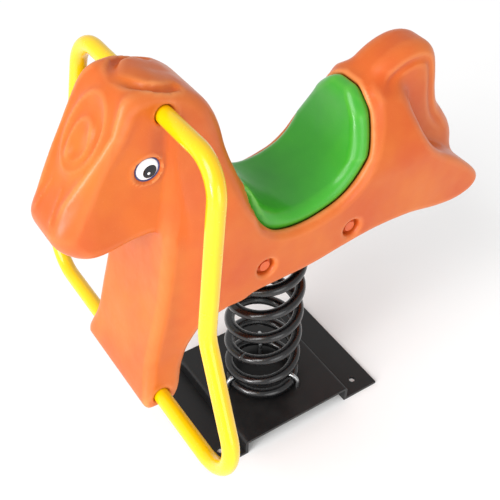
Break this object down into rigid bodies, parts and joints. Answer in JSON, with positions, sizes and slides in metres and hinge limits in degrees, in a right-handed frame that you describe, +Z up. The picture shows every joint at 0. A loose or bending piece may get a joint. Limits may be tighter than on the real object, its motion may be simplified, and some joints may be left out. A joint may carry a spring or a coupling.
{
  "type": "spring rider",
  "caption": "Playground spring rider: a hollow moulded horse with a saddle, side grip and foot bars, rocking on a coil spring over a bolt-down base plate.",
  "frame": {"origin": "on the spring's axis at floor level, in the plane of the base plate's foot flanges", "axes": "+Z up, -Y the way the horse faces, +X the horse's left side"},
  "size_m": [0.6256, 0.7781, 0.8066],
  "materials": {
    "horse_plastic": "rotomoulded polyethylene, satin",
    "seat_plastic": "moulded polyethylene, satin",
    "tube_paint": "gloss powder coat",
    "spring_paint": "gloss powder coat",
    "plate_paint": "satin powder coat",
    "zinc_steel": "zinc plated",
    "clamp_steel": "gloss black paint",
    "bolt_paint": "painted to match the body",
    "eye_white": "gloss",
    "eye_black": "gloss"
  },
  "bodies": {
    "base": {"base_plate": "plate_paint", "lower_clamp_rods": "zinc_steel", "lower_clamp_washers": "zinc_steel", "lower_clamp_nuts": "zinc_steel"},
    "spring_foot": {"coil_spring_lower": "spring_paint"},
    "spring_head": {"coil_spring_upper": "spring_paint"},
    "rider": {"upper_clamp_rods": "zinc_steel", "upper_clamp_washers": "zinc_steel", "upper_clamp_nuts": "zinc_steel", "support_frame": "plate_paint", "body_shell": "horse_plastic", "seat": "seat_plastic", "side_bolts": "bolt_paint", "side_bolt_washers": "bolt_paint", "side_bolt_nuts": "zinc_steel", "side_tube_left": "tube_paint", "side_tube_right": "tube_paint", "grip_spigot": "zinc_steel", "foot_spigot": "zinc_steel", "tube_pins": "zinc_steel", "eye_left": "eye_white", "eye_right": "eye_white", "pupil_left": "eye_black", "pupil_right": "eye_black", "eye_glint_left": "eye_white", "eye_glint_right": "eye_white"}
  },
  "joints": [
    {"name": "bounce", "type": "slide", "parent": "base", "child": "spring_foot", "axis": [0, 0, 1], "range_m": [-0.02, 0.01], "stiffness_N_per_m": 137000, "deforming": ["coil_spring_lower", "coil_spring_upper"]},
    {"name": "rock", "type": "hinge", "parent": "spring_foot", "child": "spring_head", "pos_m": [0, 0, 0.232], "axis": [1, 0, 0], "range_deg": [-20, 20], "stiffness_Nm_per_rad": 640, "deforming": ["coil_spring_lower", "coil_spring_upper"]},
    {"name": "sway", "type": "hinge", "parent": "spring_head", "child": "rider", "pos_m": [0, 0, 0.232], "axis": [0, 1, 0], "range_deg": [-12, 12], "stiffness_Nm_per_rad": 640, "deforming": ["coil_spring_upper"]}
  ]
}
